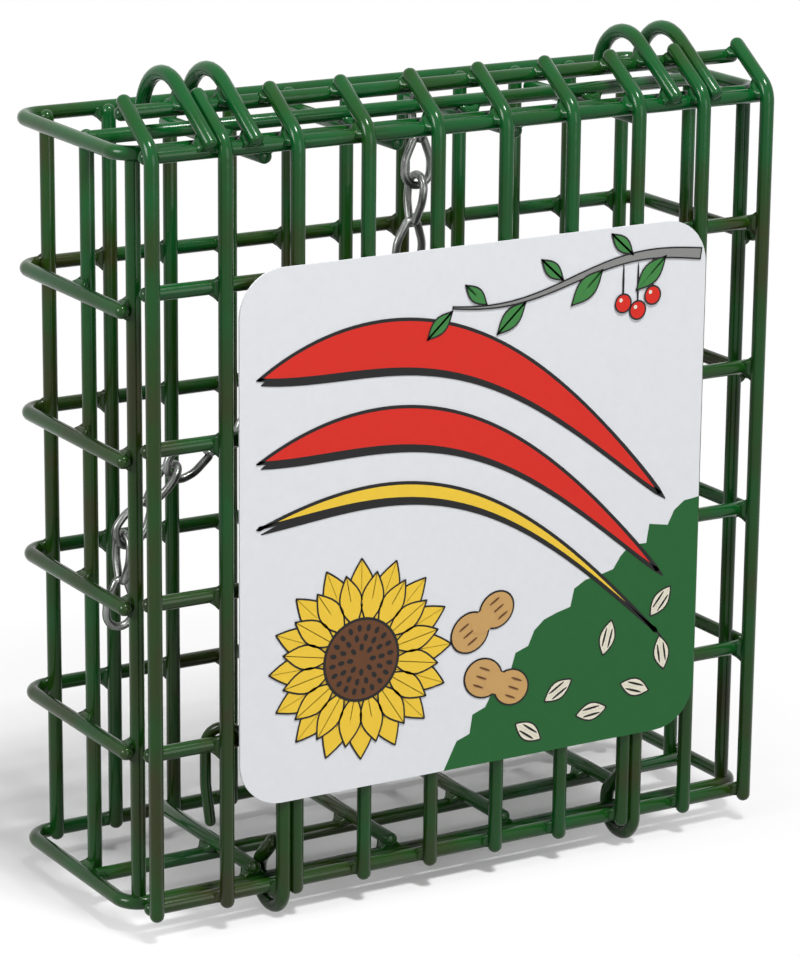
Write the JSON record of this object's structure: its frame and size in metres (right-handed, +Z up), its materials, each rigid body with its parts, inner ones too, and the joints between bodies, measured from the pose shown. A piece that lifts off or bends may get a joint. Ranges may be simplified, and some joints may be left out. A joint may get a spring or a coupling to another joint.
{
  "type": "suet feeder",
  "caption": "Vinyl coated wire cage bird feeder for a suet cake, with a drop-down hooked front door, a printed card and a hanging chain.",
  "frame": {"origin": "bottom centre of the whole feeder's bounding box, with the door shut", "axes": "+Z up, -Y out of the front where the door opens, +X to the right of someone facing the front"},
  "size_m": [0.1262, 0.047, 0.1441],
  "materials": {
    "basket_wire": "glossy green vinyl coating over steel wire",
    "door_wire": "glossy green vinyl coating over steel wire",
    "label": "printed card, half gloss",
    "chain": "zinc plated wire",
    "hanger_wire": "glossy green vinyl coating over steel wire"
  },
  "bodies": {
    "basket": {"bottom_ring": "basket_wire", "top_ring": "basket_wire", "band_rail_1": "basket_wire", "band_rail_2": "basket_wire", "band_rail_3": "basket_wire", "band_rail_4": "basket_wire", "back_upright_01": "basket_wire", "back_upright_02": "basket_wire", "back_upright_03": "basket_wire", "back_upright_04": "basket_wire", "back_upright_05": "basket_wire", "back_upright_06": "basket_wire", "back_upright_07": "basket_wire", "back_upright_08": "basket_wire", "back_upright_09": "basket_wire", "back_upright_10": "basket_wire", "back_upright_11": "basket_wire", "side_upright_left": "basket_wire", "side_upright_right": "basket_wire", "corner_post_left": "basket_wire", "corner_post_right": "basket_wire", "floor_cross_wire": "basket_wire", "top_cross_wire": "basket_wire", "floor_wire_1": "basket_wire", "floor_wire_2": "basket_wire", "floor_wire_3": "basket_wire", "floor_wire_4": "basket_wire", "top_wire_1": "basket_wire", "top_wire_2": "basket_wire", "top_wire_3": "basket_wire", "top_wire_4": "basket_wire"},
    "door": {"door_upright_01": "door_wire", "door_upright_02": "door_wire", "door_upright_03": "door_wire", "door_upright_04": "door_wire", "door_upright_05": "door_wire", "door_upright_06": "door_wire", "door_upright_07": "door_wire", "door_upright_08": "door_wire", "door_upright_09": "door_wire", "door_upright_10": "door_wire", "door_rail_1": "door_wire", "door_rail_2": "door_wire", "door_rail_3": "door_wire", "door_rail_4": "door_wire", "door_bottom_rail": "door_wire", "door_top_rail": "door_wire", "door_lip_rail": "door_wire", "latch_hook_1": "door_wire", "latch_hook_2": "door_wire", "latch_hook_3": "door_wire", "latch_hook_4": "door_wire", "hinge_eye_left": "door_wire", "hinge_eye_right": "door_wire", "label_card": "label"},
    "chain_run_1": {"chain_run_1": "chain"},
    "chain_run_2": {"chain_run_2": "chain"},
    "chain_run_3": {"chain_run_3": "chain"},
    "chain_run_4": {"chain_run_4": "chain"},
    "hanger": {"hanger_hook": "hanger_wire"}
  },
  "joints": [
    {"name": "door_hinge", "type": "hinge", "parent": "basket", "child": "door", "pos_m": [0, -0.01625, 0.00545], "axis": [1, 0, 0], "range_deg": [0, 110]},
    {"name": "chain_swing_1", "type": "hinge", "parent": "basket", "child": "chain_run_1", "pos_m": [0.0022, -0.00123, 0.13245], "axis": [0, 1, 0], "range_deg": [-5, 0]},
    {"name": "chain_swing_2", "type": "hinge", "parent": "chain_run_1", "child": "chain_run_2", "pos_m": [0.00021, -0.00123, 0.1071], "axis": [0, 1, 0], "range_deg": [-35, 0]},
    {"name": "chain_swing_3", "type": "hinge", "parent": "chain_run_2", "child": "chain_run_3", "pos_m": [-0.01723, -0.00123, 0.08557], "axis": [0, 1, 0], "range_deg": [-30, 0]},
    {"name": "chain_swing_4", "type": "hinge", "parent": "chain_run_3", "child": "chain_run_4", "pos_m": [-0.04385, -0.00123, 0.0756], "axis": [0, 1, 0], "range_deg": [-30, 0]},
    {"name": "hanger_swing", "type": "hinge", "parent": "door", "child": "hanger", "pos_m": [-0.045, -0.01935, 0.03245], "axis": [1, 0, 0], "range_deg": [-1, 14]}
  ]
}
